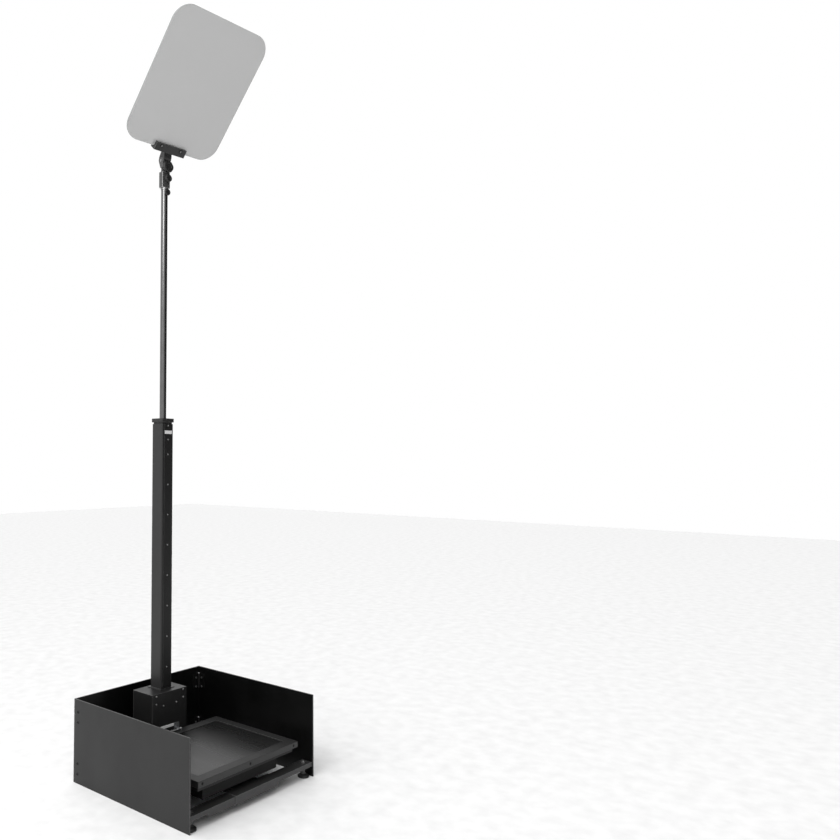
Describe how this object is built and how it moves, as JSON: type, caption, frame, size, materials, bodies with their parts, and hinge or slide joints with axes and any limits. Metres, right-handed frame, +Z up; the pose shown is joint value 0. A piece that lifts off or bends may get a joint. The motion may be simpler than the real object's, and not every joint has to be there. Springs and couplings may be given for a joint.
{
  "type": "conference teleprompter stand",
  "caption": "Floor-standing conference prompter: a face-up monitor in a three-panel shroud below a leaning beam-splitter glass on a powered telescopic mast with a swivelling, tilting head.",
  "frame": {"origin": "on the floor, at the middle of the footprint's box", "axes": "+Z up, +X across the width, +Y towards the closed back of the shroud; the speaker stands on the open side, -Y"},
  "size_m": [0.4474, 0.4116, 1.9051],
  "materials": {
    "panel_black": "fine matte black powder coat",
    "frame_grey": "semi-matte charcoal powder coat",
    "housing_black": "fine textured black paint",
    "column_paint": "satin black paint",
    "head_metal": "satin grey anodised look",
    "rod_metal": "satin dark nickel",
    "bright_steel": "bright machined steel",
    "zinc_bracket": "grey zinc plate",
    "bronze": "machined bronze",
    "knob_plastic": "moulded black plastic",
    "bush_plastic": "natural acetal",
    "bezel_plastic": "fine textured dark grey plastic",
    "screen": "low-gloss display surface",
    "black_rubber": "matte rubber",
    "foot_black": "moulded black plastic on a zinc stud",
    "board_green": "circuit board",
    "motor_can": "grey motor can",
    "splitter_glass": "half-silvered beam splitter coating"
  },
  "bodies": {
    "base": {"front_rail_left": "frame_grey", "front_rail_right": "frame_grey", "rail_joiner": "frame_grey", "rear_rail": "frame_grey", "base_spine": "frame_grey", "foot_nuts": "bright_steel", "monitor_posts": "black_rubber", "housing_floor": "frame_grey", "housing_shell": "frame_grey", "housing_front_plate": "housing_black", "housing_rear_cover": "housing_black", "housing_screws": "bright_steel", "gear_plate": "zinc_bracket", "lift_motor": "motor_can", "drive_belt": "black_rubber", "screw_bearing": "zinc_bracket", "control_board": "board_green", "power_inlet": "knob_plastic", "column_tube": "column_paint", "column_strip": "column_paint", "strip_screws": "bright_steel", "column_cap": "column_paint", "guide_bush": "bush_plastic", "monitor_bracket": "zinc_bracket"},
    "shroud": {"back_panel": "panel_black", "back_hinge_leaves": "zinc_bracket", "back_panel_bolts": "bright_steel"},
    "left_side": {"left_panel": "panel_black", "left_hinge_leaves": "zinc_bracket", "left_panel_bolts": "bright_steel"},
    "right_side": {"right_panel": "panel_black", "right_hinge_leaves": "zinc_bracket", "right_panel_bolts": "bright_steel"},
    "foot_fl": {"foot_front_left": "foot_black"},
    "foot_fr": {"foot_front_right": "foot_black"},
    "foot_rl": {"foot_rear_left": "foot_black"},
    "foot_rr": {"foot_rear_right": "foot_black"},
    "motor_rotor": {"motor_pulley": "bright_steel"},
    "screw": {"lead_screw": "bright_steel"},
    "mast": {"mast_rod": "rod_metal", "drive_nut": "bronze", "rod_spigot": "bright_steel"},
    "rod_lock": {"rod_knob": "knob_plastic"},
    "monitor": {"monitor_hinge_bar": "bright_steel", "monitor_bezel": "bezel_plastic", "screen_panel": "screen", "monitor_tray": "housing_black", "electronics_box": "housing_black"},
    "head": {"receiver_block": "head_metal", "head_washer": "black_rubber", "head_knuckle": "head_metal"},
    "swivel_lock": {"swivel_knob": "knob_plastic"},
    "roll_lock": {"roll_knob": "knob_plastic"},
    "arm": {"roll_bracket": "head_metal", "elbow_pin": "bright_steel"},
    "glass_head": {"tilt_arm": "head_metal", "clamp_channel": "housing_black", "clamp_gaskets": "black_rubber", "clamp_screws": "bright_steel", "beam_splitter_glass": "splitter_glass"}
  },
  "joints": [
    {"name": "shroud_slide_off", "type": "slide", "parent": "base", "child": "shroud", "axis": [0, 1, 0], "range_m": [0, 0.43]},
    {"name": "left_panel_fold", "type": "hinge", "parent": "shroud", "child": "left_side", "pos_m": [-0.21605, 0.19805, 0], "axis": [0, 0, -1], "range_deg": [0, 1.5]},
    {"name": "right_panel_fold", "type": "hinge", "parent": "shroud", "child": "right_side", "pos_m": [0.21605, 0.19805, 0], "axis": [0, 0, 1], "range_deg": [0, 1.5]},
    {"name": "foot_fl_level", "type": "slide", "parent": "base", "child": "foot_fl", "axis": [0, 0, -1], "range_m": [0, 0.012]},
    {"name": "foot_fr_level", "type": "slide", "parent": "base", "child": "foot_fr", "axis": [0, 0, -1], "range_m": [0, 0.012]},
    {"name": "foot_rl_level", "type": "slide", "parent": "base", "child": "foot_rl", "axis": [0, 0, -1], "range_m": [0, 0.012]},
    {"name": "foot_rr_level", "type": "slide", "parent": "base", "child": "foot_rr", "axis": [0, 0, -1], "range_m": [0, 0.012]},
    {"name": "mast_lift", "type": "slide", "parent": "base", "child": "mast", "axis": [0, 0, 1], "range_m": [-0.6, 0]},
    {"name": "screw_spin", "type": "hinge", "parent": "base", "child": "screw", "pos_m": [0.01, 0.13675, 0.1], "axis": [0, 0, 1], "continuous": true},
    {"name": "motor_spin", "type": "hinge", "parent": "base", "child": "motor_rotor", "pos_m": [-0.03, 0.12975, 0.1], "axis": [0, 0, 1], "continuous": true},
    {"name": "rod_knob_turn", "type": "hinge", "parent": "mast", "child": "rod_lock", "pos_m": [0.00879, 0.12481, 1.53], "axis": [0.1011, 0.9949, 0], "continuous": true},
    {"name": "monitor_tip_up", "type": "hinge", "parent": "base", "child": "monitor", "pos_m": [0.01, 0.07775, 0.1016], "axis": [-1, 0, 0], "range_deg": [0, 40]},
    {"name": "head_swivel", "type": "hinge", "parent": "mast", "child": "head", "pos_m": [0.01, 0.13675, 1.5443], "axis": [0, 0, 1], "continuous": true},
    {"name": "swivel_knob_turn", "type": "hinge", "parent": "head", "child": "swivel_lock", "pos_m": [0.00879, 0.12481, 1.5673], "axis": [0.1011, 0.9949, 0], "continuous": true},
    {"name": "roll_knob_turn", "type": "hinge", "parent": "head", "child": "roll_lock", "pos_m": [0.00879, 0.12481, 1.5998], "axis": [0.1011, 0.9949, 0], "continuous": true},
    {"name": "glass_roll", "type": "hinge", "parent": "head", "child": "arm", "pos_m": [0.01, 0.13675, 1.5998], "axis": [0.1011, 0.9949, 0], "range_deg": [-20, 20]},
    {"name": "glass_tilt", "type": "hinge", "parent": "arm", "child": "glass_head", "pos_m": [0.00995, 0.13625, 1.6184], "axis": [0.9949, -0.1011, 0], "range_deg": [-45, 30]}
  ],
  "couplings": [
    {"joint": "screw_spin", "follows": "mast_lift", "rad_per_m": -314.16},
    {"joint": "motor_spin", "follows": "mast_lift", "rad_per_m": -628.32}
  ]
}
